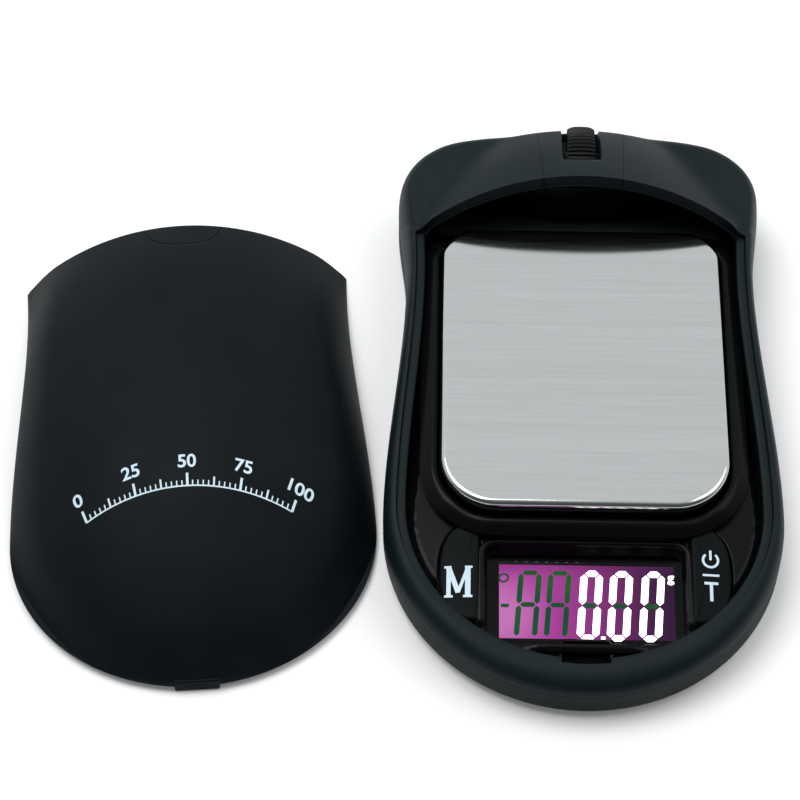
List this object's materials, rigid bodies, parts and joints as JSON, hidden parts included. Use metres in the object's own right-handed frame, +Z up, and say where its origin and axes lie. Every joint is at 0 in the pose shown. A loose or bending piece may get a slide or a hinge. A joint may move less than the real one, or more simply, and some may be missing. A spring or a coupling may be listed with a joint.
{
  "type": "digital gram scale",
  "caption": "Pocket digital gram scale in a mouse-shaped case with a steel weighing platform, backlit display and a lift-off domed cover.",
  "frame": {"origin": "on the table, under the middle of the box round the scale and its cover lying beside it", "axes": "+Z up, +Y from the rounded tail towards the wheel end, +X to the right for a user at the tail, from the cover towards the scale"},
  "size_m": [0.1386, 0.1152, 0.0286],
  "materials": {
    "case": "soft-touch satin black",
    "deck": "moulded black, slightly glossy",
    "inner_plastic": "moulded black",
    "button": "moulded black, satin",
    "foot": "black rubber",
    "steel": "brushed along the long side",
    "aluminium": "milled",
    "gauge": "white silicone over the gauges",
    "tape": "foam tape",
    "screw": "zinc plated",
    "board": "green solder mask",
    "epoxy": "black epoxy",
    "can": "bare can",
    "display": "display glass over a magenta light",
    "backlight": "light guide",
    "contact": "nickel plated",
    "battery": "plain printed sleeve",
    "wire_red": "insulation",
    "wire_green": "insulation",
    "wire_white": "insulation",
    "wire_black": "insulation"
  },
  "bodies": {
    "case": {"bottom_shell": "case", "upper_shell": "case", "inner_deck": "deck", "foot_rear_right": "foot", "foot_rear_left": "foot", "foot_front_right": "foot", "foot_front_left": "foot", "load_cell": "aluminium", "strain_gauge_top": "gauge", "strain_gauge_bottom": "gauge", "load_cell_base_screws": "screw", "overload_stop_screw": "screw", "circuit_board": "board", "processor_blob": "epoxy", "converter_chip": "epoxy", "capacitor": "can", "board_screws": "screw", "display_front_glass": "display", "display_rear_glass": "display", "backlight_panel": "backlight", "backlight_lamp": "backlight", "display_connector": "foot", "mode_switch": "epoxy", "power_switch": "epoxy", "battery_front": "battery", "battery_rear": "battery", "battery_contact_series": "contact", "battery_contact_positive": "contact", "battery_contact_negative": "contact", "battery_spring_front": "contact", "battery_spring_rear": "contact", "case_screws": "screw", "gauge_wire_red": "wire_red", "gauge_wire_green": "wire_green", "gauge_wire_white": "wire_white", "gauge_wire_black": "wire_black", "battery_wire_positive": "wire_red", "battery_wire_negative": "wire_black"},
    "cover": {"cover_shell": "case"},
    "platform": {"platform_tray": "steel", "platform_carrier": "inner_plastic", "tray_tape_right": "tape", "tray_tape_left": "tape", "platform_screws": "screw"},
    "mode_key": {"mode_button": "button", "mode_switch_plunger": "button"},
    "power_key": {"power_button": "button", "power_switch_plunger": "button"},
    "scroll_wheel": {"scroll_wheel_hub": "inner_plastic", "scroll_wheel_tyre": "foot"},
    "door": {"battery_door": "case"}
  },
  "joints": [
    {"name": "cover_lift", "type": "slide", "parent": "case", "child": "cover", "axis": [0, 0, 1], "range_m": [0, 0.08]},
    {"name": "platform_press", "type": "slide", "parent": "case", "child": "platform", "axis": [0, 0, -1], "range_m": [0, 0.0004], "stiffness_N_per_m": 1500, "springref_m": -0.00035, "deforming": ["load_cell", "strain_gauge_top"]},
    {"name": "mode_button_press", "type": "slide", "parent": "case", "child": "mode_key", "axis": [0, 0, -1], "range_m": [0, 0.0005], "stiffness_N_per_m": 300, "springref_m": -0.0002},
    {"name": "power_button_press", "type": "slide", "parent": "case", "child": "power_key", "axis": [0, 0, -1], "range_m": [0, 0.0005], "stiffness_N_per_m": 300, "springref_m": -0.0002},
    {"name": "scroll_wheel_spin", "type": "hinge", "parent": "case", "child": "scroll_wheel", "pos_m": [0.03414, 0.04876, 0.0202], "axis": [1, 0, 0], "continuous": true},
    {"name": "battery_door_slide", "type": "slide", "parent": "case", "child": "door", "axis": [0, 1, 0], "range_m": [0, 0.024]}
  ]
}
